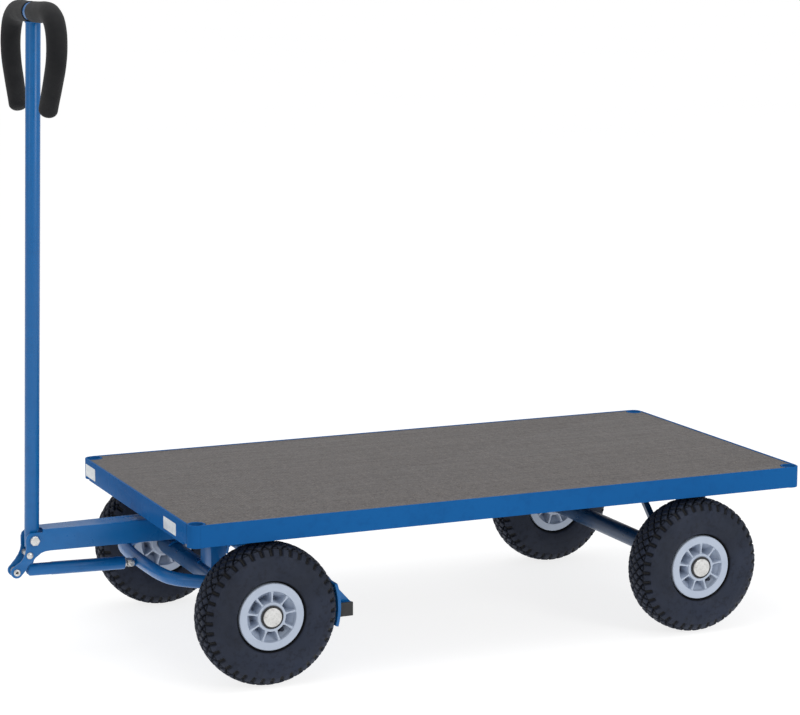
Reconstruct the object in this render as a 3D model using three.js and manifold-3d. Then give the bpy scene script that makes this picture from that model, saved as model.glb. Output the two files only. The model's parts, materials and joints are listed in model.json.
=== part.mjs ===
// A steerable platform trolley: a panelled deck in a steel angle frame on four pneumatic wheels.
// The front axle turns with its drawbar, and laying the drawbar down releases the parking brake.
// Millimetres. +X is forward (the drawbar end), +Y the trolley's left, +Z up, the floor at z = 0.
// Lengths along X are counted from the deck's middle; the whole group is centred at the end.
import * as THREE from "three";
import { mergeVertices } from "three/addons/utils/BufferGeometryUtils.js";
import Module from "manifold-3d";

const wasm = await Module();
wasm.setup();

const GAP = 0.3; // clearance left between neighbouring pieces
const DEG = Math.PI / 180;

// Driving dimensions
const DECK = { length: 1250, width: 650, top: 306, rail: 40, wall: 4, board: 15 };
const SOCKET = { outer: 16.85, bore: 13, bottom: 265 };
const WHEEL = { radius: 130, half: 39, bead: 61.5, rim: 61.2, face: 33, track: 604, windows: 9 };
const RIM = { hub: 25, flange: 46, web: 29, floor: 6, firstWindow: 32 };
// Where the valve stands in one of the windows: its angle from +X and its reach from the axle.
const VALVE = { angle: 232, reach: 33 };
const AXLE = { z: 130, tube: 18, neck: 14, shaft: 10, front: 478, rear: -398 };
const TURNTABLE = { plate: 120, lower: 88, outer: 108, inner: 84, pin: 11.7 };
const CARRIER = { spread: 75, low: 16, leg: 11, crotch: [14, 157], y: [221, 233] };
const PIVOT = { x: 820, z: 232, bolt: 6 };
const DRAWBAR = { radius: 13.5, bore: 11, handle: 956, lean: 1.6 };
const GRIP = { radius: 19, bar: 12.5, collar: 17.5 };
const BEAM = { bottom: 211, top: 252, ear: 246, half: 20, wall: 4, rear: 440, web: 803, rearHalf: 33 };
const SPACER = { x: 829.6, z: 204.9, bolt: 4 };
const TAIL = { x: 852.6, z: 173.8, pin: 4, radius: 11, half: 13 };
const ROD = { radius: 12.2, front: 831, pivotX: 633, zFront: 173.9, zRear: 168.5, fork: 12.3 };
const BOW = { z: 168, radius: 12.5, armY: 222 };
const BAR = { x: [312, 338], z: [108.5, 133.5], half: 305 };
const SHOE = {
  inner: 133.5, outer: 139.5, y: [268, 318], angles: [162, 195.5], gusset: [296, 300],
};

const halfLength = DECK.length / 2;
const halfWidth = DECK.width / 2;
const railBottom = DECK.top - DECK.rail;
const boardTop = DECK.top - 0.8;
const boardBottom = boardTop - DECK.board;

const FINISH = {
  blue: { color: 0x33679f, roughness: 0.45, metalness: 0.1 },
  board: { color: 0x6f6b6b, roughness: 0.8, metalness: 0 },
  tyre: { color: 0x33383e, roughness: 0.85, metalness: 0 },
  rim: { color: 0xb4bccd, roughness: 0.5, metalness: 0 },
  zinc: { color: 0xc4c4bd, roughness: 0.35, metalness: 0.8 },
  black: { color: 0x232427, roughness: 0.6, metalness: 0 },
  foam: { color: 0x262628, roughness: 0.95, metalness: 0 },
};
const SIDES = [["left", 1], ["right", -1]];
const ENDS = [["front", 1], ["rear", -1]];

// ---- Shapes, each a closed solid that can be joined and cut ----
function solid(geometry) {
  geometry.deleteAttribute("normal");
  geometry.deleteAttribute("uv");
  const merged = mergeVertices(geometry, 1e-3);
  const faces = [];
  for (let i = 0; i < merged.index.count; i += 3) {
    const face = [0, 1, 2].map((k) => merged.index.getX(i + k));
    if (new Set(face).size === 3) faces.push(face);
  }
  const build = (list) =>
    new wasm.Manifold(
      new wasm.Mesh({
        numProp: 3,
        vertProperties: merged.attributes.position.array,
        triVerts: new Uint32Array(list.flat()),
      }),
    );
  const made = build(faces);
  return made.volume() > 0 ? made : build(faces.map(([a, b, c]) => [a, c, b]));
}

const box = (x0, x1, y0, y1, z0, z1) =>
  solid(
    new THREE.BoxGeometry(x1 - x0, y1 - y0, z1 - z0)
      .translate((x0 + x1) / 2, (y0 + y1) / 2, (z0 + z1) / 2),
  );

// Cylinders along Z, along Y and along X.
const upright = (x, y, z0, z1, radius, sides = 24) =>
  solid(
    new THREE.CylinderGeometry(radius, radius, z1 - z0, sides)
      .rotateX(Math.PI / 2)
      .translate(x, y, (z0 + z1) / 2),
  );
const cross = (x, z, y0, y1, radius, sides = 20) =>
  solid(
    new THREE.CylinderGeometry(radius, radius, y1 - y0, sides).translate(x, (y0 + y1) / 2, z),
  );
const lengthways = (x0, x1, y, z, radius, sides = 20) =>
  solid(
    new THREE.CylinderGeometry(radius, radius, x1 - x0, sides)
      .rotateZ(Math.PI / 2)
      .translate((x0 + x1) / 2, y, z),
  );

const outlined = (points, depth) =>
  new THREE.ExtrudeGeometry(new THREE.Shape(points.map((p) => new THREE.Vector2(...p))), {
    depth,
    bevelEnabled: false,
  });
// A profile of [radius, height] points turned about X, its heights counted forward.
const turnedLengthways = (points, sides = 24) =>
  solid(
    new THREE.LatheGeometry(points.map((p) => new THREE.Vector2(...p)), sides)
      .rotateZ(-Math.PI / 2),
  );
// An outline of [x, z] points, thick from y0 to y1.
const plate = (points, y0, y1) =>
  solid(outlined(points, y1 - y0).rotateX(Math.PI / 2).translate(0, y1, 0));
// An outline of [x, y] points, thick from z0 to z1.
const slab = (points, z0, z1) => solid(outlined(points, z1 - z0).translate(0, 0, z0));
// An outline of [y, z] points, long from x0 to x1.
const profile = (points, x0, x1) =>
  solid(outlined(points, x1 - x0).rotateX(Math.PI / 2).rotateZ(Math.PI / 2).translate(x0, 0, 0));

// A profile of [radius, height] points turned about Y.
const turned = (points, sides = 24) =>
  solid(new THREE.LatheGeometry(points.map((p) => new THREE.Vector2(...p)), sides));
const closed = (points) => [...points, points[0]];
// An outline that is the same on both sides of y = 0, from its half on the +Y side.
const bothHands = (half) => [...half, ...[...half].reverse().map(([y, z]) => [-y, z])];
// The other half of a profile that is the same on both sides of y = 0.
const bothSides = (half) => [...half.map(([r, y]) => [r, -y]), ...[...half].reverse()];

const arc = (cx, cy, radius, from, to, steps) =>
  Array.from({ length: steps + 1 }, (_, i) => {
    const angle = (from + ((to - from) * i) / steps) * DEG;
    return [cx + radius * Math.cos(angle), cy + radius * Math.sin(angle)];
  });

// A round bar along a smooth path of [x, y, z] points.
const sweep = (path, radius, steps, sides) =>
  solid(
    new THREE.ExtrudeGeometry(
      new THREE.Shape(
        arc(0, 0, radius, 0, 360 - 360 / sides, sides - 1).map((p) => new THREE.Vector2(...p)),
      ),
      {
        steps,
        bevelEnabled: false,
        extrudePath: new THREE.CatmullRomCurve3(
          path.map((p) => new THREE.Vector3(...p)),
          false,
          "centripetal",
        ),
      },
    ),
  );

const joined = (solids) => solids.reduce((all, next) => all.add(next));
const ordered = (a, b) => [Math.min(a, b), Math.max(a, b)];

// Adds a solid to a group as one named mesh with its own material.
function add(group, name, shape, finish) {
  const { numProp, vertProperties, triVerts } = shape.getMesh();
  const positions = new Float32Array((vertProperties.length / numProp) * 3);
  for (let i = 0; i < positions.length / 3; i++)
    positions.set(vertProperties.subarray(i * numProp, i * numProp + 3), i * 3);
  const geometry = new THREE.BufferGeometry();
  geometry.setAttribute("position", new THREE.BufferAttribute(positions, 3));
  geometry.setIndex(new THREE.BufferAttribute(new Uint32Array(triVerts), 1));
  geometry.computeVertexNormals();
  const mesh = new THREE.Mesh(
    geometry,
    new THREE.MeshStandardMaterial({ ...FINISH[finish], flatShading: true }),
  );
  mesh.name = name;
  group.add(mesh);
}

const root = new THREE.Group();
root.name = "platform_trolley";
function subgroup(x = 0, y = 0, z = 0) {
  const group = new THREE.Group();
  group.position.set(x, y, z);
  root.add(group);
  return group;
}

// ---- Deck: four angle rails between tubular corner sockets, a board and cross members ----
const chassis = subgroup();
const cornerX = halfLength - SOCKET.outer;
const cornerY = halfWidth - SOCKET.outer;
const corners = ENDS.flatMap(([end, sx]) =>
  SIDES.map(([side, sy]) => ({ name: `${end}_${side}`, sx, sy, x: sx * cornerX, y: sy * cornerY })),
);
const socketRoom = joined(
  corners.map(({ x, y }) => upright(x, y, 250, 320, SOCKET.outer + GAP)),
);

for (const [side, sy] of SIDES) {
  const angle = [
    [0, 0], [DECK.rail, 0], [DECK.rail, DECK.wall], [DECK.wall, DECK.wall],
    [DECK.wall, DECK.rail], [0, DECK.rail],
  ].map(([y, z]) => [sy * (halfWidth - y), railBottom + z]);
  add(chassis, "rail_" + side, profile(angle, -cornerX, cornerX).subtract(socketRoom), "blue");
}
const legReach = halfWidth - DECK.rail - GAP;
for (const [end, sx] of ENDS) {
  const outer = sx * halfLength;
  const lipInner = sx * (halfLength - DECK.wall);
  const legInner = sx * (halfLength - DECK.rail);
  const legTop = railBottom + DECK.wall;
  const lip = box(...ordered(outer, lipInner), -cornerY, cornerY, legTop + GAP, DECK.top);
  const leg = box(...ordered(outer, legInner), -legReach, legReach, railBottom, legTop);
  const seam = box(...ordered(outer, lipInner), -legReach, legReach, railBottom + 1, legTop + 1);
  add(chassis, "rail_" + end, joined([lip, leg, seam]).subtract(socketRoom), "blue");
}
for (const { name, x, y } of corners)
  add(
    chassis,
    "socket_" + name,
    upright(x, y, SOCKET.bottom, DECK.top, SOCKET.outer)
      .subtract(upright(x, y, SOCKET.bottom - 1, DECK.top + 1, SOCKET.bore)),
    "blue",
  );

const boardX = halfLength - DECK.wall - GAP;
const boardY = halfWidth - DECK.wall - GAP;
const boardCut = ({ sx, sy, x, y }) =>
  upright(x, y, boardBottom - 1, DECK.top + 1, SOCKET.outer + 0.8)
    .add(box(...ordered(x, sx * halfLength), ...ordered(y, sy * halfWidth), boardBottom - 1,
      DECK.top + 1));
add(
  chassis,
  "deck_board",
  box(-boardX, boardX, -boardY, boardY, boardBottom, boardTop)
    .subtract(joined(corners.map(boardCut))),
  "board",
);

for (const [place, x, half] of [
  ["front", AXLE.front + 85, 20],
  ["middle", AXLE.front - 85, 20],
  ["rear", AXLE.rear, 90],
])
  add(
    chassis,
    "cross_member_" + place,
    box(x - half, x + half, -legReach, legReach, railBottom, boardBottom - GAP).subtract(
      box(x - half + 4, x + half - 4, -halfWidth, halfWidth, railBottom - 1, boardBottom - 4.3),
    ),
    "blue",
  );

// ---- Rear axle, held by two V-shaped carriers: one leg comes down ahead of it, one behind ----
const axle = bothSides([
  [0, WHEEL.track / 2 + WHEEL.face - GAP], [AXLE.shaft, WHEEL.track / 2 + WHEEL.face - GAP],
  [AXLE.shaft, WHEEL.track / 2 - WHEEL.face - GAP], [AXLE.neck, WHEEL.track / 2 - WHEEL.face - GAP],
  [AXLE.neck, 248], [AXLE.tube, 248],
]);
const rearAxle = subgroup(AXLE.rear, 0, AXLE.z);
add(rearAxle, "rear_axle", turned(axle), "blue");
const axleRoom = cross(0, 0, -260, 260, AXLE.tube + GAP, 24);
for (const [side, sy] of SIDES) {
  const top = railBottom - GAP - AXLE.z;
  const { spread, low, leg, crotch, y } = CARRIER;
  const outline = [
    [-spread - leg / 2, top], [-low, 0], [low, 0], [spread + leg / 2, top], [spread - leg / 2, top],
    [crotch[0], crotch[1] - AXLE.z], [-crotch[0], crotch[1] - AXLE.z], [-spread + leg / 2, top],
  ];
  const carrier = plate(outline, ...ordered(sy * y[0], sy * y[1]));
  add(rearAxle, "axle_carrier_" + side, carrier.subtract(axleRoom), "blue");
}

// ---- Turntable: a plate and ring under the deck, a ring and plate on the bogie, a kingpin ----
const kingpinRoom = upright(AXLE.front, 0, 230, 290, TURNTABLE.pin + GAP);
const squarePlate = (half, z0, z1) =>
  box(AXLE.front - half, AXLE.front + half, -half, half, z0, z1).subtract(kingpinRoom);
const ring = (z0, z1, outer) =>
  upright(AXLE.front, 0, z0, z1, outer, 32)
    .subtract(upright(AXLE.front, 0, z0 - 1, z1 + 1, TURNTABLE.inner, 32));
add(chassis, "turntable_plate", squarePlate(TURNTABLE.plate, 262.1, 265.7), "blue");
add(chassis, "turntable_ring_upper", ring(258.8, 261.8, TURNTABLE.outer), "zinc");

const bogie = subgroup();
add(bogie, "turntable_ring_lower", ring(255.6, 258.5, TURNTABLE.outer + 4), "zinc");
add(bogie, "bogie_plate", squarePlate(TURNTABLE.lower, 252.3, 255.3), "blue");
const kingpin = joined([
  upright(AXLE.front, 0, 234, 247.6, 18, 6),
  upright(AXLE.front, 0, 240, 270, TURNTABLE.pin, 16),
  upright(AXLE.front, 0, 266, 278, 20, 16),
]);
add(bogie, "kingpin", kingpin, "zinc");

// ---- Drawbar beam: a channel, open below. Its side walls run on past the web as two ears
// that carry the drawbar's pivot, and curve down and forward into a tail. ----
const earOutline = [
  [BEAM.rear, BEAM.bottom], [790, BEAM.bottom], [800, 210.3], [808, 207.8], [818.6, 200.2],
  [825, 192.7], [830.5, 184.5], [836, 176], ...arc(TAIL.x, TAIL.z, TAIL.radius, 215, 420, 9),
  [853.6, 187.6], [847.3, 192.8], [841.9, 199.6], [838, 207.8], [836, 217], [836, 234.5],
  [833.5, 241.5], [828, BEAM.ear], [BEAM.web + 1, BEAM.ear], [BEAM.web + 1, BEAM.top], [BEAM.rear, BEAM.top],
];
// The beam's plan: parallel ears, then walls that spread towards the bogie.
const beamPlan = (inset) => [
  [BEAM.rear + inset, BEAM.rearHalf - inset], [BEAM.rear + inset, inset - BEAM.rearHalf],
  [800, inset - BEAM.half], [900, inset - BEAM.half], [900, BEAM.half - inset],
  [800, BEAM.half - inset],
];
// Seen from the front the walls step in towards each other where the tail begins.
const tailStep = (inset) =>
  profile(
    bothHands([
      [TAIL.half - inset, 100], [TAIL.half - inset, 184], [BEAM.half - inset, 196], [60, 196],
      [60, 300],
    ]),
    BEAM.rear - 1,
    900,
  );
// The hollow between the walls, which is open above ahead of the web.
const betweenWalls = slab(beamPlan(BEAM.wall), 150, 300).intersect(tailStep(BEAM.wall));
const channel = betweenWalls.intersect(box(400, 950, -50, 50, 140, BEAM.top - BEAM.wall));
const openTop = betweenWalls.intersect(box(BEAM.web, 950, -50, 50, 140, 310));
const beam = plate(earOutline, -60, 60)
  .intersect(slab(beamPlan(0), 100, 300))
  .intersect(tailStep(0))
  .subtract(channel)
  .subtract(openTop)
  .subtract(kingpinRoom)
  .subtract(cross(PIVOT.x, PIVOT.z, -30, 30, PIVOT.bolt + GAP, 16))
  .subtract(cross(SPACER.x, SPACER.z, -30, 30, SPACER.bolt + GAP, 12))
  .subtract(cross(TAIL.x, TAIL.z, -30, 30, TAIL.pin + GAP, 12));
add(bogie, "drawbar_beam", beam, "blue");

// Bolts through the ears: their heads outside, a sleeve between the walls on two of them.
const earFace = BEAM.half + GAP;
const hexagon = (y0, y1) => cross(PIVOT.x, PIVOT.z, ...ordered(y0, y1), 9.5, 6);
add(
  bogie,
  "pivot_bolt",
  joined([
    cross(PIVOT.x, PIVOT.z, -27, 27, PIVOT.bolt, 14),
    hexagon(earFace, earFace + 6.5),
    hexagon(-earFace, -earFace - 7.5),
  ]),
  "zinc",
);
const sleeved = ({ wall, head, bolt, sleeve }) =>
  turned(
    bothSides([
      [0, wall + 3.5], [head, wall + 3.5], [head, wall + GAP], [bolt, wall + GAP],
      [bolt, wall - BEAM.wall - GAP], [sleeve, wall - BEAM.wall - GAP],
    ]),
    14,
  );
add(subgroup(SPACER.x, 0, SPACER.z), "spacer_bolt",
  sleeved({ wall: BEAM.half, head: 6.4, bolt: SPACER.bolt, sleeve: 5.5 }), "zinc");
add(subgroup(TAIL.x, 0, TAIL.z), "end_pin",
  sleeved({ wall: TAIL.half, head: 6.5, bolt: TAIL.pin, sleeve: 7 })
    .subtract(cross(0, 0, -40, 40, 2.2, 10)),
  "zinc");

// ---- Front axle, the post that carries the beam on it, and guides for the brake's arms ----
const frontAxle = subgroup(AXLE.front, 0, AXLE.z);
add(frontAxle, "front_axle", turned(axle), "blue");
add(
  frontAxle,
  "axle_post",
  box(-24, 6, -30, 30, 4, BEAM.bottom - GAP - AXLE.z).subtract(axleRoom),
  "blue",
);
for (const [side, sy] of SIDES) {
  // The arm bends inward ahead of its guide and comes into it as the bow slides back,
  // so the hole is a slot that runs on inward.
  const outer = sy * BOW.armY;
  const inner = outer - sy * 8;
  const z = BOW.z - AXLE.z;
  const room = BOW.radius + 1;
  const guide = box(-14, -2, ...ordered(inner - sy * 21, outer + sy * 21), 6, 57)
    .subtract(lengthways(-20, 5, outer, z, room))
    .subtract(lengthways(-20, 5, inner, z, room))
    .subtract(box(-20, 5, ...ordered(inner, outer), z - room, z + room))
    .subtract(axleRoom);
  add(frontAxle, "brake_guide_" + side, guide, "blue");
}

// ---- Drawbar, drawn upright from its pivot and parked leaning back a little ----
const drawbar = subgroup(PIVOT.x, 0, PIVOT.z);
drawbar.rotation.y = -DRAWBAR.lean * DEG;
const tubeTop = DRAWBAR.handle - GRIP.radius - GAP;
add(
  drawbar,
  "drawbar_tube",
  upright(0, 0, -14, tubeTop, DRAWBAR.radius)
    .subtract(upright(0, 0, -15, tubeTop + 1, DRAWBAR.bore, 16))
    .subtract(cross(0, 0, -20, 20, PIVOT.bolt + GAP, 16)),
  "blue",
);
// The tongue below the pivot pushes the brake rod back when the drawbar comes down.
add(
  drawbar,
  "brake_tongue",
  plate([[-5.5, -14.3], [-5.5, -33], ...arc(6.5, -54, 6, 200, 395, 7), [2.5, -35], [2.5, -14.3]],
    -5, 5),
  "blue",
);

// The handle bow lies across the trolley: level in the middle, its arms bent down and inward.
const armPath = [
  [45, 0], [80, 1], [110, -2], [136, -15], [150, -38], [152.5, -64], [146, -90], [126, -126],
  [108, -155], [95, -177],
];
const handlePoints = (points, sy) => points.map(([y, z]) => [0, sy * y, DRAWBAR.handle + z]);
const barPath = [
  ...handlePoints(armPath.slice(0, -1), -1).reverse(),
  [0, 0, DRAWBAR.handle],
  ...handlePoints(armPath.slice(0, -1), 1),
];
const barLowest = DRAWBAR.handle - 160;
add(
  drawbar,
  "handle_bar",
  sweep(barPath, GRIP.bar, 28, 10).subtract(
    box(-30, 30, -200, 200, barLowest - 100, barLowest),
  ),
  "black",
);
const barRoom = sweep(barPath, GRIP.bar + GAP, 28, 10);
add(
  drawbar,
  "handle_collar",
  cross(0, DRAWBAR.handle, -8.5, 8.5, GRIP.collar).subtract(barRoom),
  "blue",
);
for (const [side, sy] of SIDES) {
  const path = [[0, sy * 8.9, DRAWBAR.handle], ...handlePoints(armPath, sy)];
  add(drawbar, "grip_" + side, sweep(path, GRIP.radius, 14, 16).subtract(barRoom), "foam");
}

// ---- Brake: a bow that slides fore and aft and moves two shoes against the front tyres ----
const brake = subgroup();
const bowArm = [
  [611, 60], [608.5, 100], [602, 134], [587, 161], [566, 182], [541, 202], [520, 216],
  [500, BOW.armY], [440, BOW.armY], [380, BOW.armY],
].map(([x, y]) => [x, y, BOW.z]);
bowArm.push([350, BOW.armY, 164], [332, BOW.armY, 152], [325, BOW.armY, 134.2]);
const bowPath = [
  ...bowArm.map(([x, y, z]) => [x, -y, z]).reverse(),
  [612, 0, BOW.z],
  ...bowArm,
];
const belowBow = box(280, 360, -300, 300, 90, BAR.z[1] + GAP);
add(brake, "brake_bow", sweep(bowPath, BOW.radius, 36, 10).subtract(belowBow), "blue");
add(brake, "brake_bar", box(...BAR.x, -BAR.half, BAR.half, ...BAR.z), "blue");
const lugOutline = [[618, 161], ...arc(ROD.pivotX, ROD.zRear, 6, -60, 90, 6), [618, 176]];
add(
  brake,
  "brake_lug",
  plate(lugOutline, -4, 4).subtract(sweep(bowPath, BOW.radius + GAP, 36, 10)),
  "blue",
);
for (const [side, sy] of SIDES) {
  add(
    brake,
    "bar_cap_" + side,
    box(BAR.x[0] - 0.5, BAR.x[1] + 0.5, ...ordered(sy * (BAR.half + GAP), sy * (BAR.half + 5)),
      BAR.z[0] - 0.5, BAR.z[1] + 0.5),
    "black",
  );
  const [from, to] = SHOE.angles;
  const shoe = plate(
    [
      ...arc(AXLE.front, AXLE.z, SHOE.outer, from, to, 8),
      ...arc(AXLE.front, AXLE.z, SHOE.inner, to, from, 8),
    ],
    ...ordered(sy * SHOE.y[0], sy * SHOE.y[1]),
  );
  const barRoomAhead = box(BAR.x[0], BAR.x[1] + GAP, -400, 400, BAR.z[0] - 1, BAR.z[1] + GAP);
  const barTop = BAR.z[1] + GAP;
  const gusset = plate(
    [[BAR.x[0] + 2, barTop], [341, barTop], [342.5, 150], [347.5, 171]],
    ...ordered(sy * SHOE.gusset[0], sy * SHOE.gusset[1]),
  );
  add(brake, "brake_shoe_" + side, shoe.subtract(barRoomAhead).add(gusset), "blue");
}

// ---- Brake rod: a fork astride the bow's lug, a tube, and a slot that takes the tongue ----
const rod = subgroup(ROD.pivotX, 0, ROD.zRear);
rod.rotation.y = -Math.atan2(ROD.zFront - ROD.zRear, ROD.front - ROD.pivotX);
const rodLength = ROD.front - ROD.pivotX;
add(
  rod,
  "rod_fork",
  box(-5, ROD.fork - GAP, -9.5, 9.5, -7, 7).subtract(box(-6, 7.2, -4.6, 4.6, -8, 8)),
  "zinc",
);
const rodTube = turnedLengthways(
  [
    [0, ROD.fork], [ROD.radius, ROD.fork], [ROD.radius, rodLength - 5],
    [ROD.radius - 1.2, rodLength - 2], [ROD.radius - 4.5, rodLength], [0, rodLength],
  ],
  18,
);
add(
  rod,
  "brake_rod",
  rodTube.subtract(box(rodLength - 46, rodLength + 1, -5.6, 5.6, -20, 20)),
  "blue",
);

// ---- Wheels, each drawn with its outer face towards +Y ----
const tyreHalf = [
  [WHEEL.bead, 31], [80, 37.6], [96, WHEEL.half], [112, 36.6], [125, 27], [WHEEL.radius, 9],
];
const tyre = turned(closed([...tyreHalf, ...[...tyreHalf].reverse().map(([r, y]) => [r, -y])]), 36);

const rimSection = closed([
  [AXLE.shaft + GAP, -WHEEL.face], [RIM.hub - 1, -WHEEL.face], [RIM.hub - 1, -2], [52, -6],
  [52, -WHEEL.face], [WHEEL.rim, -WHEEL.face], [WHEEL.rim, WHEEL.face], [RIM.flange, WHEEL.face],
  [RIM.flange - 1.5, RIM.web], [RIM.hub, RIM.web], [RIM.hub - 1, WHEEL.face],
  [AXLE.shaft + GAP, WHEEL.face],
]);
const pitch = 360 / WHEEL.windows;
// One of the recesses between the spokes.
const rimWindow = (i) => {
  const middle = RIM.firstWindow + i * pitch;
  return plate(
    [
      ...arc(0, 0, RIM.flange - 2.5, middle - pitch / 2 + 2.4, middle + pitch / 2 - 2.4, 3),
      ...arc(0, 0, RIM.hub + 2.5, middle + pitch / 2 - 3.6, middle - pitch / 2 + 3.6, 2),
    ],
    RIM.floor,
    WHEEL.face + 1,
  );
};
const rim = turned(rimSection, 3 * WHEEL.windows).subtract(
  joined(Array.from({ length: WHEEL.windows }, (_, i) => rimWindow(i))),
);
const hubCap = turned(
  [[0, WHEEL.face + GAP], [20, WHEEL.face + GAP], [20, 36.2], [18, 38], [0, 38.9]],
  20,
);
const valve = turned(
  [
    [0, RIM.floor + GAP], [3.6, RIM.floor + GAP], [3.6, 19], [4.6, 20], [4.6, 24], [3.6, 25],
    [3.6, 27], [0, 27],
  ],
  12,
);

for (const [end, x] of [["front", AXLE.front], ["rear", AXLE.rear]])
  for (const [side, sy] of SIDES) {
    const wheel = subgroup(x, (sy * WHEEL.track) / 2, AXLE.z);
    wheel.rotation.z = sy > 0 ? 0 : Math.PI;
    add(wheel, `tyre_${end}_${side}`, tyre, "tyre");
    add(wheel, `rim_${end}_${side}`, rim, "rim");
    add(wheel, `hub_cap_${end}_${side}`, hubCap, "zinc");
    add(wheel, `valve_${end}_${side}`, valve, "black");
    const valveAngle = VALVE.angle * DEG;
    wheel.children.at(-1).position
      .set(VALVE.reach * Math.cos(valveAngle), 0, VALVE.reach * Math.sin(valveAngle));
  }

// The group's origin is on the floor under the middle of the whole trolley.
root.position.x = -(TAIL.x + TAIL.radius - halfLength) / 2;

export default root;
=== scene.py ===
"""A platform trolley with a steerable front axle, air-filled wheels and a drawbar that works a brake.

The frame is the CAD model's: metres, +X towards the drawbar, +Y the trolley's left, +Z up. A length
written in millimetres carries the factor MM, or goes to a function or a list that says it takes them.
"""
import json
import math

import bmesh
import bpy
from mathutils import Matrix, Vector, noise


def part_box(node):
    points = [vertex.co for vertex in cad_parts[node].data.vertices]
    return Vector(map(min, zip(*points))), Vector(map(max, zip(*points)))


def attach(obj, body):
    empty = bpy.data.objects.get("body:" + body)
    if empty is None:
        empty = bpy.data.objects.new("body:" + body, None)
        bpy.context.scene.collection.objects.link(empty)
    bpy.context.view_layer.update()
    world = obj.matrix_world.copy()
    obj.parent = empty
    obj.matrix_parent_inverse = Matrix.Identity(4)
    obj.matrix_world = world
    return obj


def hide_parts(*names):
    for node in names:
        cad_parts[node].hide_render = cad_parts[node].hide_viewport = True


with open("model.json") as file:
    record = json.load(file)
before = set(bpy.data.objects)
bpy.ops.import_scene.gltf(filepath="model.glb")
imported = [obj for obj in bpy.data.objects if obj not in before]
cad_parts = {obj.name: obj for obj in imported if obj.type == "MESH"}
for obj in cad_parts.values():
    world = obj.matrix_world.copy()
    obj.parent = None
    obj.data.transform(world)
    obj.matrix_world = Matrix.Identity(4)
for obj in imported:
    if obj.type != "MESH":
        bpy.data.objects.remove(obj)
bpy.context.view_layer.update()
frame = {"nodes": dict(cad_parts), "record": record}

MM = 0.001
TAU = 2 * math.pi
NODES = frame["nodes"]
RECORD = frame["record"]
BODY_OF = {n: body for body, nodes in RECORD["behaviour"]["bodies"].items() for n in nodes}
SLOT_OF = {part["node"]: part["material_slot"] for part in RECORD["subparts"]}
JOINT_AT = {j["name"]: Vector(j["pos_m"]) for j in RECORD["behaviour"]["joints"] if "pos_m" in j}

ENDS = ("front", "rear")
SIDES = (("left", 1), ("right", -1))
WHEEL_RADIUS = 130 * MM
LEAN = math.radians(1.6)  # the parked drawbar leans back
ROD_RISE = math.atan2(5.4, 198)  # the rod climbs 5.4 mm in the 198 mm from its fork to its front end
HANDLE_REACH = 956 * MM  # from the drawbar's pivot to the middle of its handle


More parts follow.
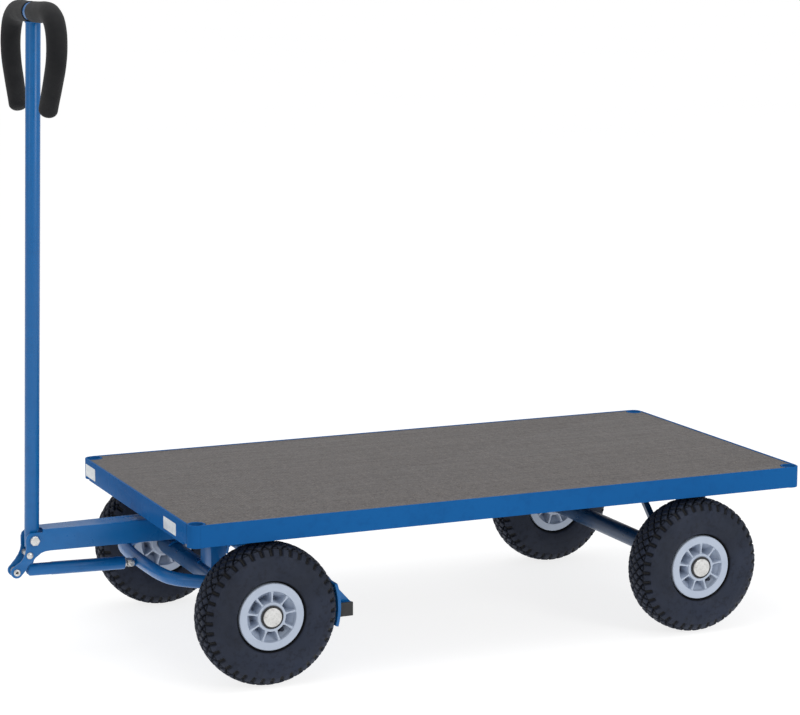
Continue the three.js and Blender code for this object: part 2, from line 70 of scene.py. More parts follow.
# ---------------------------------------------------------------- materials
class Look:
    """A node material under construction, with short calls for the nodes it is made of."""

    def __init__(self, name, colour, roughness, metallic=0.0, specular=0.5):
        self.material = bpy.data.materials.new(name)
        self.material.use_nodes = True
        self.tree = self.material.node_tree
        self.shader = self.tree.nodes["Principled BSDF"]
        self.shader.inputs["Base Color"].default_value = (*colour, 1)
        self.shader.inputs["Roughness"].default_value = roughness
        self.shader.inputs["Metallic"].default_value = metallic
        self.shader.inputs["Specular IOR Level"].default_value = specular
        self.position = self.node("ShaderNodeTexCoord").outputs["Object"]

    def node(self, kind, **settings):
        made = self.tree.nodes.new(kind)
        for key, value in settings.items():
            setattr(made, key, value)
        return made

    def stretched(self, scale):
        mapping = self.node("ShaderNodeMapping")
        self.tree.links.new(self.position, mapping.inputs["Vector"])
        mapping.inputs["Scale"].default_value = scale
        return mapping.outputs["Vector"]

    def noise(self, scale, detail=3.0, roughness=0.55, stretch=None):
        made = self.node("ShaderNodeTexNoise")
        made.inputs["Scale"].default_value = scale
        made.inputs["Detail"].default_value = detail
        made.inputs["Roughness"].default_value = roughness
        position = self.stretched(stretch) if stretch else self.position
        self.tree.links.new(position, made.inputs["Vector"])
        return made.outputs["Fac"]

    def cells(self, scale):
        made = self.node("ShaderNodeTexVoronoi")
        made.inputs["Scale"].default_value = scale
        self.tree.links.new(self.position, made.inputs["Vector"])
        return made.outputs["Distance"]

    def bands(self, scale, direction):
        made = self.node("ShaderNodeTexWave", wave_type="BANDS", bands_direction=direction)
        made.inputs["Scale"].default_value = scale
        self.tree.links.new(self.position, made.inputs["Vector"])
        return made.outputs["Fac"]

    def ranged(self, value, low, high, start, end):
        """A value that goes from low to high while another rises from start to end."""
        made = self.node("ShaderNodeMapRange")
        self.tree.links.new(value, made.inputs["Value"])
        for name, number in (("From Min", start), ("From Max", end), ("To Min", low), ("To Max", high)):
            made.inputs[name].default_value = number
        return made.outputs["Result"]

    def product(self, first, second):
        made = self.node("ShaderNodeMath", operation="MULTIPLY")
        self.tree.links.new(first, made.inputs[0])
        self.tree.links.new(second, made.inputs[1])
        return made.outputs["Value"]

    def mix(self, factor, colour, start, end):
        """Blends another colour over what the surface has, where factor rises from start to end."""
        mixer = self.node("ShaderNodeMix", data_type="RGBA")
        base = self.shader.inputs["Base Color"]
        self.tree.links.new(self.ranged(factor, 0, 1, start, end), mixer.inputs["Factor"])
        if base.is_linked:
            self.tree.links.new(base.links[0].from_socket, mixer.inputs["A"])
        else:
            mixer.inputs["A"].default_value = base.default_value
        mixer.inputs["B"].default_value = (*colour, 1)
        self.tree.links.new(mixer.outputs["Result"], base)
        return self

    def rough(self, value, low, high):
        """Lets the roughness follow a noise, whose values mostly lie between 0.3 and 0.7."""
        self.tree.links.new(self.ranged(value, low, high, 0.3, 0.7), self.shader.inputs["Roughness"])
        return self

    def bump(self, value, distance, strength):
        made = self.node("ShaderNodeBump")
        made.inputs["Distance"].default_value = distance
        made.inputs["Strength"].default_value = strength
        self.tree.links.new(value, made.inputs["Height"])
        normal = self.shader.inputs["Normal"]
        if normal.is_linked:
            self.tree.links.new(normal.links[0].from_socket, made.inputs["Normal"])
        self.tree.links.new(made.outputs["Normal"], normal)
        return self


def rgb(red, green, blue):
    """A linear colour from the usual 0 to 255 values."""
    def linear(v):
        return v / 255 / 12.92 if v <= 10 else ((v / 255 + 0.055) / 1.055) ** 2.4

    return tuple(linear(v) for v in (red, green, blue))


def blue_paint(name, shade, specular, red=3):
    """Blue paint with faint orange peel; shade dims or lifts it, and red greys it a little."""
    def tint(more_red, green, blue):
        return tuple(shade * c for c in rgb(red + more_red, green, blue))

    look = Look(name, tint(0, 87, 147), 0.3, specular=specular)
    look.mix(look.noise(2.2), tint(3, 94, 156), 0.35, 0.75)
    look.mix(look.noise(60, 4), tint(0, 82, 140), 0.5, 0.9)
    look.rough(look.noise(25, 4), 0.25, 0.35)
    return look.bump(look.noise(650, 2), 0.00005, 0.25).bump(look.noise(90, 2), 0.0001, 0.1).material


def board_face():
    look = Look("deck_board", rgb(94, 92, 92), 0.6, specular=0.35)
    streaks = look.noise(1.0, 4, 0.65, stretch=(6, 190, 60))
    across = look.noise(1.0, 3, 0.6, stretch=(170, 8, 60))
    look.mix(streaks, rgb(87, 84, 85), 0.42, 0.8)
    look.mix(across, rgb(112, 107, 106), 0.5, 0.85)
    look.mix(look.noise(1.7, 3), rgb(91, 88, 89), 0.4, 0.75)
    imprint = look.product(look.bands(62, "X"), look.bands(62, "Y"))
    look.mix(imprint, rgb(80, 77, 77), 0.15, 1.4)
    look.mix(look.noise(120, 5, 0.8), rgb(72, 68, 66), 0.48, 0.66)
    look.mix(look.noise(330, 4, 0.7), rgb(142, 134, 128), 0.5, 0.78)
    look.rough(streaks, 0.5, 0.68)
    return look.bump(imprint, 0.0004, 0.7).bump(streaks, 0.0004, 0.35).material


def board_edge():
    look = Look("board_edge", rgb(120, 92, 66), 0.8)
    look.mix(look.bands(210, "Z"), rgb(78, 55, 38), 0.45, 0.6)
    return look.bump(look.noise(300, 4), 0.0004, 0.5).material


def tyre_rubber():
    look = Look("tyre", rgb(24, 31, 46), 0.62, specular=0.26)
    look.mix(look.noise(9, 4), rgb(35, 43, 61), 0.4, 0.75)
    look.mix(look.noise(120, 4), rgb(17, 22, 34), 0.5, 0.8)
    groove_shade = look.node("ShaderNodeAttribute", attribute_name="groove_shade").outputs["Fac"]
    # Painted shade: near black in the tread's grooves and round the bead beside the rim.
    look.mix(groove_shade, rgb(12, 13, 17), 0.1, 1.0)
    look.rough(look.noise(30, 4), 0.46, 0.7)
    return look.bump(look.noise(900, 2), 0.0001, 0.5).bump(look.noise(120, 3), 0.0005, 0.35).material


def rim_plastic():
    look = Look("rim_plastic", rgb(176, 187, 204), 0.42, specular=0.45)
    look.mix(look.noise(18, 4), rgb(166, 177, 195), 0.4, 0.8)
    look.rough(look.noise(60, 3), 0.36, 0.5)
    return look.bump(look.noise(500, 3), 0.00015, 0.4).material


def zinc():
    look = Look("zinc", rgb(214, 214, 213), 0.36, metallic=0.85)
    look.mix(look.noise(90, 5), rgb(176, 175, 172), 0.45, 0.85)
    look.mix(look.noise(420, 4, 0.7), rgb(132, 131, 128), 0.55, 0.8)
    look.rough(look.noise(140, 4), 0.28, 0.5)
    return look.bump(look.noise(700, 3), 0.00012, 0.5).material


def black_plastic():
    look = Look("black_plastic", rgb(27, 28, 31), 0.5)
    look.mix(look.noise(40, 3), rgb(36, 37, 40), 0.45, 0.8)
    look.rough(look.noise(80, 3), 0.42, 0.6)
    return look.bump(look.cells(1400), 0.0001, 0.5).material


def foam_skin():
    look = Look("foam", rgb(12, 13, 16), 0.8, specular=0.35)
    look.shader.inputs["Sheen Weight"].default_value = 0.06
    look.shader.inputs["Sheen Roughness"].default_value = 0.5
    look.mix(look.noise(20, 4), rgb(17, 18, 22), 0.4, 0.8)
    look.rough(look.noise(40, 3), 0.8, 0.95)
    return look.bump(look.cells(1100), 0.00018, 0.6).bump(look.noise(45, 3), 0.0008, 0.3).material


def label_film():
    look = Look("label", rgb(214, 219, 222), 0.35)
    look.mix(look.noise(120, 3), rgb(198, 204, 208), 0.45, 0.8)
    return look.bump(look.noise(200, 2), 0.0001, 0.3).material


MATERIAL = {
    "blue_paint": blue_paint("blue_paint", shade=1.12, specular=0.4),
    "rail_paint": blue_paint("rail_paint", shade=1.0, specular=0.005, red=26),
    "edge_highlight_paint": blue_paint("edge_highlight_paint", shade=1.45, specular=0.6),  # painted highlight on rounded edges
    "shade_paint": blue_paint("shade_paint", shade=0.6, specular=0.5),  # painted shade on the front axle, for the deck's shadow
    "underside_shade_paint": blue_paint("underside_shade_paint", shade=0.34, specular=0.5),  # painted shade on what lies deep under the deck
    "deck_board": board_face(),
    "board_edge": board_edge(),
    "tyre": tyre_rubber(),
    "rim_plastic": rim_plastic(),
    "zinc": zinc(),
    "black_plastic": black_plastic(),
    "foam": foam_skin(),
    "label": label_film(),
}


# ---------------------------------------------------------------- mesh tools
def smooth(mesh, angle):
    """Smooth shading, but for edges that turn by more than an angle in degrees."""
    mesh.shade_smooth()
    mesh.set_sharp_from_angle(angle=math.radians(angle))


def mesh_from(name, points, faces, angle=35):
    """A closed and smoothed mesh from points and faces."""
    mesh = bpy.data.meshes.new(name)
    mesh.from_pydata([tuple(p) for p in points], [], faces)
    work = bmesh.new()
    work.from_mesh(mesh)
    bmesh.ops.remove_doubles(work, verts=work.verts, dist=1e-6)
    bmesh.ops.recalc_face_normals(work, faces=work.faces)
    work.to_mesh(mesh)
    work.free()
    smooth(mesh, angle)
    return mesh


def place(name, mesh, look, body, stands_for=(), matrix=None):
    """Puts a mesh into the scene as one piece of the trolley that rides on a body."""
    piece = bpy.data.objects.new(name, mesh)
    bpy.context.scene.collection.objects.link(piece)
    if not mesh.materials:
        mesh.materials.append(MATERIAL[look])
    if matrix is not None:
        piece.matrix_world = matrix
    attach(piece, body)
    if stands_for:
        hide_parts(*stands_for)
    return piece


def joined(*parts):
    """One list of points and one of faces from several (points, faces) pairs."""
    points, faces = [], []
    for more, their_faces in parts:
        start = len(points)
        points += list(more)
        faces += [tuple(i + start for i in face) for face in their_faces]
    return points, faces


def moved(part, matrix):
    """A (points, faces) pair with its points taken through a matrix."""
    points, faces = part
    return [matrix @ Vector(p) for p in points], faces


def loft(rings, capped=True, closed=False):
    """Faces between rings of equally many points."""
    count = len(rings[0])
    points = [p for ring in rings for p in ring]
    faces = []
    spans = len(rings) if closed else len(rings) - 1
    for i in range(spans):
        a, b = i * count, ((i + 1) % len(rings)) * count
        faces += [(a + j, a + (j + 1) % count, b + (j + 1) % count, b + j) for j in range(count)]
    if capped and not closed:
        last = (len(rings) - 1) * count
        faces += [tuple(range(count))[::-1], tuple(range(last, last + count))]
    return points, faces


def turned(profile, sides):
    """A profile of (radius, height) points turned about +Y; ends on the axis close it."""
    rings = []
    for i in range(sides):
        c, s = math.cos(TAU * i / sides), math.sin(TAU * i / sides)
        rings.append([Vector((r * c, h, r * s)) for r, h in profile])
    points = [p for ring in rings for p in ring]
    count = len(profile)
    faces = []
    for i in range(sides):
        a, b = i * count, ((i + 1) % sides) * count
        faces += [(a + j, a + j + 1, b + j + 1, b + j) for j in range(count - 1)]
    return points, faces


def spline(points, steps):
    """A smooth centripetal curve through the points, as evenly spaced positions."""
    fineness = 24  # positions worked out from each point to the next
    points = [Vector(p) for p in points]
    ends = [2 * points[0] - points[1], *points, 2 * points[-1] - points[-2]]
    fine = []
    for p0, p1, p2, p3 in zip(ends, ends[1:], ends[2:], ends[3:]):
        t0 = 0.0
        t1 = t0 + (p1 - p0).length ** 0.5
        t2 = t1 + (p2 - p1).length ** 0.5
        t3 = t2 + (p3 - p2).length ** 0.5
        for k in range(fineness):
            t = t1 + (t2 - t1) * k / fineness
            a1 = p0 * ((t1 - t) / (t1 - t0)) + p1 * ((t - t0) / (t1 - t0))
            a2 = p1 * ((t2 - t) / (t2 - t1)) + p2 * ((t - t1) / (t2 - t1))
            a3 = p2 * ((t3 - t) / (t3 - t2)) + p3 * ((t - t2) / (t3 - t2))
            b1 = a1 * ((t2 - t) / (t2 - t0)) + a2 * ((t - t0) / (t2 - t0))
            b2 = a2 * ((t3 - t) / (t3 - t1)) + a3 * ((t - t1) / (t3 - t1))
            fine.append(b1 * ((t2 - t) / (t2 - t1)) + b2 * ((t - t1) / (t2 - t1)))
    fine.append(points[-1].copy())
    lengths = [0.0]
    for a, b in zip(fine, fine[1:]):
        lengths.append(lengths[-1] + (b - a).length)
    evenly, j = [], 0
    for k in range(steps + 1):
        goal = lengths[-1] * k / steps
        while j < len(lengths) - 2 and lengths[j + 1] < goal:
            j += 1
        part = (goal - lengths[j]) / max(lengths[j + 1] - lengths[j], 1e-12)
        evenly.append(fine[j].lerp(fine[j + 1], min(1.0, part)))
    return evenly


def tube(path, radius, sides):
    """A round bar along a path. radius is a number, or a function of the index and the angle."""
    rings = []
    across = None
    for i, centre in enumerate(path):
        along = (path[min(i + 1, len(path) - 1)] - path[max(i - 1, 0)]).normalized()
        if across is None:
            across = Vector((0, 0, 1)) if abs(along.z) < 0.8 else Vector((1, 0, 0))
        across = (across - along * across.dot(along)).normalized()
        up = along.cross(across)
        ring = []
        for j in range(sides):
            angle = TAU * j / sides
            r = radius(i, angle) if callable(radius) else radius
            ring.append(centre + across * (r * math.cos(angle)) + up * (r * math.sin(angle)))
        rings.append(ring)
    return loft(rings)


def rounded_end(radius, path, fillet):
    """A radius function that rounds off the last part of a bar."""
    def at(i, _angle):
        left = (path[-1] - path[i]).length
        if left >= fillet:
            return radius
        drop = fillet - math.sqrt(max(0.0, fillet**2 - (fillet - left) ** 2))
        return radius - drop
    return at


def refined(node, bevel, segments, look=None, edge=None):
    """A CAD node with its edges rounded: its flat faces are merged first, so the bevel is clean.

    The bevel is in mm. The rounded edges can have a look of their own, a lighter paint that is a
    painted highlight where they catch the light.
    """
    flat, corner = math.radians(1.0), math.radians(35)
    mesh = NODES[node].data.copy()
    mesh.name = node + "_shape"
    work = bmesh.new()
    work.from_mesh(mesh)
    bmesh.ops.remove_doubles(work, verts=work.verts, dist=2e-6)
    bmesh.ops.dissolve_limit(work, angle_limit=flat, verts=work.verts, edges=work.edges)
    sharp = [e for e in work.edges if len(e.link_faces) == 2 and e.calc_face_angle(0) > corner]
    bmesh.ops.bevel(
        work, geom=sharp, offset=bevel * MM, segments=segments, profile=0.5, affect="EDGES",
        clamp_overlap=True, harden_normals=False, material=1 if edge else -1,
    )
    bmesh.ops.recalc_face_normals(work, faces=work.faces)
    work.to_mesh(mesh)
    work.free()
    mesh.materials.clear()
    smooth(mesh, 30)
    mesh.materials.append(MATERIAL[look or SLOT_OF[node]])
    if edge:
        mesh.materials.append(MATERIAL[edge])
    return place(node + "_fine", mesh, look, BODY_OF[node], (node,))


# ---------------------------------------------------------------- wheels
LUGS = 40
TREAD_STEPS = 12  # columns of the mesh in one lug's pitch
PITCH = TAU / LUGS * WHEEL_RADIUS  # from lug to lug round the crown
TREAD_FROM = 110.8 * MM  # the radius where the lugs begin
SHOULDER = 27 * MM  # the lugs end and the diamonds begin this far from the crown, along the surface
WALL_LOW, WALL_HIGH = 66 * MM, 109 * MM  # radii between which the side wall lies
WALL_RINGS = (72 * MM, 86 * MM, 102 * MM)
SECTION_MIDDLE = 92 * MM  # the radius that grooves are cut towards
TYRE_BORE = 61.6 * MM


def near(value, target, half_width, edge):
    """1 on a line, 0 away from it, with soft edges."""
    away = abs(value - target)
    return min(1.0, max(0.0, (half_width + edge - away) / edge))


def tyre_section():
    """The smooth tyre's outline as (radius, y, way along the surface from the crown), bead to bead."""
    outline = [
        (61.7, 24.0), (62.6, 26.5), (64.6, 30.0), (66.2, 34.0), (70.0, 36.0), (78.0, 37.8),
        (88.0, 38.8), (98.0, 38.7), (106.0, 37.6), (109.4, 36.7), (110.4, 37.1), (112.0, 36.7),
        (116.0, 34.6), (120.5, 31.4), (124.5, 26.6), (127.3, 21.0), (128.9, 14.5), (129.7, 7.5),
        (130.0, 0.0),
    ]
    half = [(p.x, p.y) for p in spline([(r * MM, y * MM, 0) for r, y in outline], 46)]
    whole = half + [(r, -y) for r, y in reversed(half[:-1])]
    crown = len(half) - 1
    along = [0.0] * len(whole)
    for i in range(crown + 1, len(whole)):
        step = math.hypot(whole[i][0] - whole[i - 1][0], whole[i][1] - whole[i - 1][1])
        along[i] = along[i - 1] + step
        along[2 * crown - i] = -along[i]
    return [(r, y, s) for (r, y), s in zip(whole, along)]


def tread_depth(turn, r, s):
    """How deep the tread is cut, at a turn counted in pitches, a radius and a way from the crown."""
    if r <= TREAD_FROM:
        return 0.0
    if abs(s) <= SHOULDER:  # diamonds between two families of slanting grooves
        slants = ((turn + s / PITCH) % 1.0, (turn - s / PITCH) % 1.0)
        return 4.6 * MM * max(near(slant, 0.5, 0.06, 0.09) for slant in slants)
    phase = (turn + (0.0 if s > 0 else 0.5)) % 1.0  # one side's lugs are half a pitch from the other's
    between_lugs = 4.2 * MM * near(phase, 0.5, 0.12, 0.12) * min(1.0, (r - TREAD_FROM) / (3 * MM))
    round_tyre = 3.2 * MM * near(abs(s), 27.8 * MM, 0.7 * MM, 1.2 * MM)
    return max(between_lugs, round_tyre)


def tyre_mesh():
    """A pneumatic tyre, outer side towards +Y: diamond blocks on the tread, lugs on the shoulders."""
    section = tyre_section()
    full_groove = 4 * MM  # a cut this deep or deeper gets the full painted shade
    rings, grooves = [], []
    for i in range(LUGS * TREAD_STEPS):
        turn = i / TREAD_STEPS
        angle = TAU * turn / LUGS - math.pi / 2
        ring = []
        for r, y, s in section:
            depth = tread_depth(turn, r, s)
            # the painted shade: by depth in the tread's cuts, in full from the side wall down to the bead
            grooves.append(min(1.0, depth / full_groove) if r > WALL_LOW else 1.0)
            lean = Vector((r - SECTION_MIDDLE, y)).normalized()
            cut_r, cut_y = r - lean.x * depth, y - lean.y * depth
            if WALL_LOW < r < WALL_HIGH:  # faint rings moulded into the side wall
                on_ring = max(near(r, at, 0.4 * MM, 0.9 * MM) for at in WALL_RINGS)
                cut_y -= math.copysign(0.35 * MM * on_ring, y)
            ring.append(Vector((cut_r * math.cos(angle), cut_y, cut_r * math.sin(angle))))
        ring.append(Vector((TYRE_BORE * math.cos(angle), 0, TYRE_BORE * math.sin(angle))))
        grooves.append(1.0)
        rings.append(ring)
    mesh = mesh_from("tyre", *loft(rings, closed=True), angle=42)
    mesh.attributes.new("groove_shade", "FLOAT", "POINT").data.foreach_set("value", grooves)
    return mesh


# The rim's face, in mm: radii, and heights above the wheel's middle plane.
WINDOWS = 9
FIRST_SPOKE = math.radians(12)
FACE = 33.0
SPOKE_TOP = 31.4
SEAT_RADIUS, SEAT_HEIGHT = 21.5, 32.6  # where the seal sits
COLLAR_RADIUS, COLLAR_HEIGHT = 24.5, 33.2  # the raised ring round it
WINDOW_INNER, WINDOW_OUTER = 26.3, 46.4
FLANGE = 60
OUTER_BORE, INNER_BORE = 10.6, 14.6


def ramp(value, start, length):
    """0 up to a start, then rising to 1 over a length."""
    return min(1.0, max(0.0, (value - start) / length))


def face_height(r, from_spoke):
    """The height of the rim's face at a radius and a distance from the nearest spoke's middle."""
    if r > FLANGE:
        return FACE - 1.9 * ramp(r, FLANGE, 1.3) ** 2
    if r < SEAT_RADIUS:
        return SEAT_HEIGHT
    if r < COLLAR_RADIUS:
        return COLLAR_HEIGHT
    if not WINDOW_INNER < r < WINDOW_OUTER:
        return FACE
    spoke_half = 1.5 + 0.9 * max(0.0, (r - 36) / 10) + 1.6 * max(0.0, (31 - r) / 5)
    opening = ramp(from_spoke, spoke_half, 1.3) * (ramp(r, 27.0, 1.1) * ramp(46.2 - r, 0, 1.2))
    floor = 1 + 24 * max(0.0, (r - 28) / 18) ** 0.8  # it slopes up towards the flange
    if r < 34.5 and from_spoke > 4.0:
        floor -= 6  # a pocket beside the hub
    return SPOKE_TOP - (SPOKE_TOP - floor) * opening


def rim_face(side, bore):
    """One face of the rim as a relief over a polar grid: flange, spokes, sloping windows and hub."""
    radii = [bore, 17, 20, 21.4, 22.0, 24.2, 25.0, 26.3, 26.8, 27.3, 28, 29, 30.5, 32, 33.5, 35, 37,
             39, 41, 42.5, 43.5, 44.2, 44.8, 45.4, 46, 46.8, 48, 52, 56, 59, 60.2, 60.9, 61.2, 61.3]
    columns = 40 * WINDOWS
    pitch = TAU / WINDOWS
    rows = []
    for r in radii:
        ring = []
        for i in range(columns):
            angle = TAU * i / columns
            turn = (angle - FIRST_SPOKE) / pitch
            from_spoke = abs((turn + 0.5) % 1.0 - 0.5) * pitch * r
            height = side * face_height(r, from_spoke) * MM
            ring.append(Vector((r * MM * math.cos(angle), height, r * MM * math.sin(angle))))
        rows.append(ring)
    return rows


def rim_mesh():
    """A moulded wheel centre, its outer side towards +Y, open to the axle and closed round the edge."""
    outer = rim_face(1, OUTER_BORE)
    inner = rim_face(-1, INNER_BORE)
    drum_scale = 0.9995  # the drum between the flanges is a touch smaller than their edges
    drum = []
    for y in (27, 10, -10, -27):
        drum.append([Vector((p.x * drum_scale, y * MM, p.z * drum_scale)) for p in outer[-1]])
    return mesh_from("rim", *loft(outer + drum + inner[::-1], capped=False), angle=38)


def cap_mesh():
    """A pressed zinc cap over the hub, with a rolled edge and a shallow dish."""
    profile = [(0.0, 36.6), (1.6, 36.6), (2.2, 36.9), (7.0, 36.9), (12.5, 37.1), (14.6, 37.6),
               (16.2, 37.7), (17.2, 37.2), (17.6, 36.2), (17.6, 33.0), (16.0, 32.8)]
    return mesh_from("hub_cap", *turned([(r * MM, h * MM) for r, h in profile], 64), angle=50)


def seal_mesh():
    """The dark ring between the cap and the wheel centre."""
    radius, half_width, height, half_height = 19.4, 1.75, 34.2, 1.6  # in mm
    around, across = 96, 10
    rings = []
    for i in range(around):
        angle = TAU * i / around
        ring = []
        for k in range(across):
            turn = TAU * k / across
            r = (radius + half_width * math.cos(turn)) * MM
            h = (height + half_height * math.sin(turn)) * MM
            ring.append(Vector((r * math.cos(angle), h, r * math.sin(angle))))
        rings.append(ring)
    return mesh_from("hub_seal", *loft(rings, closed=True))


def valve_mesh():
    """A rubber valve stem with a ribbed cap."""
    profile = [(0, 30.2), (2.6, 30.2), (3.6, 29.4), (3.9, 28), (3.9, 22.4), (5.0, 22.0), (5.4, 20.4),
               (5.2, 18.0), (4.4, 16.2), (4.6, 12), (5.4, 9.6), (5.6, 6.6), (0, 6.6)]
    rib_low, rib_high = 22.2 * MM, 29 * MM
    points, faces = turned([(r * MM, h * MM) for r, h in profile], 36)
    for i, p in enumerate(points):
        column = i // len(profile)
        if rib_low < p.y < rib_high and column % 3 == 0:
            points[i] = Vector((p.x * 0.9, p.y, p.z * 0.9))
    return mesh_from("valve", points, faces)


def build_wheels():
    tyre, rim, cap, seal, valve = tyre_mesh(), rim_mesh(), cap_mesh(), seal_mesh(), valve_mesh()
    for end in ENDS:
        for side, sign in SIDES:
            name = f"{end}_{side}"
            body = f"wheel_{name}"
            centre = JOINT_AT[f"wheel_spin_{name}"]
            outward = Matrix.Rotation(0 if sign > 0 else math.pi, 4, "Z")
            where = Matrix.Translation(centre) @ outward
            place(f"tyre_{name}_fine", tyre, "tyre", body, (f"tyre_{name}",), where)
            place(f"rim_{name}_fine", rim, "rim_plastic", body, (f"rim_{name}",), where)
            place(f"hub_cap_{name}_fine", cap, "zinc", body, (f"hub_cap_{name}",), where)
            place(f"hub_seal_{name}", seal, "black_plastic", body, (), where)
            low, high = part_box(f"valve_{name}")
            middle = (low + high) / 2
            foot = Matrix.Translation(Vector((middle.x, centre.y, middle.z)))
            place(f"valve_{name}_fine", valve, "tyre", body, (f"valve_{name}",), foot @ outward)


# ---------------------------------------------------------------- fasteners and welds
WASHER = 1.6  # the thickness of the washer under a hexagon head, in mm


def hexagon_head(across, height, thread=None, washer=1.3):
    """A hexagon head on a washer, pointing along +Y from its seat at the origin, with sizes in mm.

    washer is how wide the washer is against the hexagon. A nut has the bolt's thread standing out of it.
    """
    a = across / 2
    wide = washer * a
    top = WASHER + height
    disc = [(0.5 * a, 0), (wide - 0.2, 0), (wide, 0.35), (wide, 1.3), (wide - 0.6, WASHER),
            (0.5 * a, WASHER)]
    sections = ((0.94, WASHER), (1.0, WASHER + 0.5), (1.0, WASHER + height * 0.82), (0.9, top),
                (0.6, top))  # the size of the hexagon at each height
    rings = []
    for scale, h in sections:
        ring = []
        for k in range(36):
            angle = TAU * k / 36
            flat = a / math.cos((angle % (math.pi / 3)) - math.pi / 6)
            r = min(flat, a * 1.13) * scale
            ring.append(Vector((r * math.cos(angle), h, r * math.sin(angle))))
        rings.append(ring)
    parts = [turned(disc, 36), loft(rings)]
    if thread:
        tip = top + thread
        end = [(0, tip), (0.36 * a, tip), (0.46 * a, tip - 0.4), (0.46 * a, height), (0, height)]
        parts.append(turned(end, 24))
    points, faces = joined(*parts)
    return [p * MM for p in points], faces


def facing(at, axis):
    """A matrix that takes +Y at the origin to an axis at a point."""
    turn = Vector((0, 1, 0)).rotation_difference(Vector(axis))
    return Matrix.Translation(at) @ turn.to_matrix().to_4x4()


def bolt_heads(name, body, places, across, height):
    """Heads at several places, each a point and the direction it faces, as one piece."""
    parts = [moved(hexagon_head(across, height), facing(Vector(at), axis)) for at, axis in places]
    place(name, mesh_from(name, *joined(*parts), angle=30), "zinc", body)


def weld(name, body, runs, radius=2.0):
    """Painted weld beads: each run is a path, and the bead, its radius in mm, ripples along it."""
    step = 1.1 * MM
    steps_in_ripple = 4
    parts = []
    for n, run in enumerate(runs):
        length = sum((b - a).length for a, b in zip(run, run[1:]))
        path = spline(run, max(12, int(length / step)))

        def thick(i, angle, n=n):
            unevenness = 0.25 * noise.noise(Vector((i * 0.21, n * 3.7, angle)))
            ripple = 0.12 * math.cos(TAU * i / steps_in_ripple) + unevenness
            return radius * MM * (1 + ripple)

        parts.append(tube(path, thick, 10))
    place(name, mesh_from(name, *joined(*parts), angle=60), "blue_paint", body)


def circle(centre, radius, normal, start=0, end=360):
    """Points of an arc about an axis, its angles in degrees, for weld runs."""
    steps = 24
    turn = Vector((0, 0, 1)).rotation_difference(Vector(normal)).to_matrix()
    angles = [math.radians(start + (end - start) * k / steps) for k in range(steps + 1)]
    return [Vector(centre) + turn @ Vector((radius * math.cos(t), radius * math.sin(t), 0)) for t in angles]


# ---------------------------------------------------------------- deck
LABELS = {  # each label's limits in y and in z on the front rail
    "label_left": ((0.178, 0.247), (0.272, 0.2945)),
    "label_right": ((-0.306, -0.243), (0.272, 0.296)),
}


def build_deck():
    # The rails' and sockets' rounded edges carry a painted highlight.
    for node in ("rail_left", "rail_right", "rail_front", "rail_rear"):
        refined(node, 1.6, 3, look="rail_paint", edge="edge_highlight_paint")
    for end in ENDS:
        for side, _ in SIDES:
            refined(f"socket_{end}_{side}", 0.9, 2, look="rail_paint", edge="edge_highlight_paint")
    # Painted shade: the cross members get the darkest copy of the blue paint.
    for node in ("cross_member_front", "cross_member_middle", "cross_member_rear"):
        refined(node, 1.0, 2, look="underside_shade_paint")
    board = refined("deck_board", 0.7, 2)
    board.data.materials.append(MATERIAL["board_edge"])
    for face in board.data.polygons:
        if abs(face.normal.z) < 0.5:
            face.material_index = 1
    rail_low, rail_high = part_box("rail_left")
    foot, end_z = rail_low.z + 2 * MM, rail_low.z + 18 * MM
    crest = (rail_high.z - 3 * MM + foot) / 2  # where a bead turns back a little, to end thick
    runs = []
    for end, sx in zip(ENDS, (1, -1)):
        for side, sy in SIDES:
            low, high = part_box(f"socket_{end}_{side}")
            mid = (low + high) / 2
            r = (high.x - low.x) / 2 + 0.6 * MM
            for x, y in ((mid.x - sx * r, mid.y + sy * 0.55 * r), (mid.x + sx * 0.55 * r, mid.y - sy * r)):
                runs.append([Vector((x, y, z)) for z in (foot, crest, end_z)])
    weld("corner_welds", "chassis", runs, 1.6)


def build_labels():
    """Blank labels with rounded corners on the front rail's outer face."""
    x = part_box("rail_front")[1].x + 0.05 * MM
    radius = 2 * MM
    layers = ((0, 0), (0.22 * MM, 0), (0.3 * MM, 0.25 * MM))  # how far out each outline is, and drawn in
    for name, ((y0, y1), (z0, z1)) in LABELS.items():
        right, left, low, high = y0 + radius, y1 - radius, z0 + radius, z1 - radius
        outline = []
        for cy, cz, start in ((left, high, 0), (right, high, 90), (right, low, 180), (left, low, 270)):
            for k in range(7):
                t = math.radians(start + 15 * k)
                outline.append((cy + radius * math.cos(t), cz + radius * math.sin(t)))
        rings = []
        for out, inset in layers:
            rings.append([Vector((x + out, drawn_in(y, y0, y1, inset), drawn_in(z, z0, z1, inset)))
                          for y, z in outline])
        place(name, mesh_from(name, *loft(rings), angle=50), "label", "chassis")


def drawn_in(value, low, high, inset):
    """A coordinate moved by an inset towards the middle between two limits."""
    return value + inset if value < (low + high) / 2 else value - inset


# ---------------------------------------------------------------- axles, turntable and carriers
UNDER_ARC = (215, 325)  # weld beads run round the lower part of an axle, between these angles
MEMBER_BOLT_Y = 0.18
MEMBER_WEB = 4.4 * MM  # the rear member's web and the gap above it, below the board


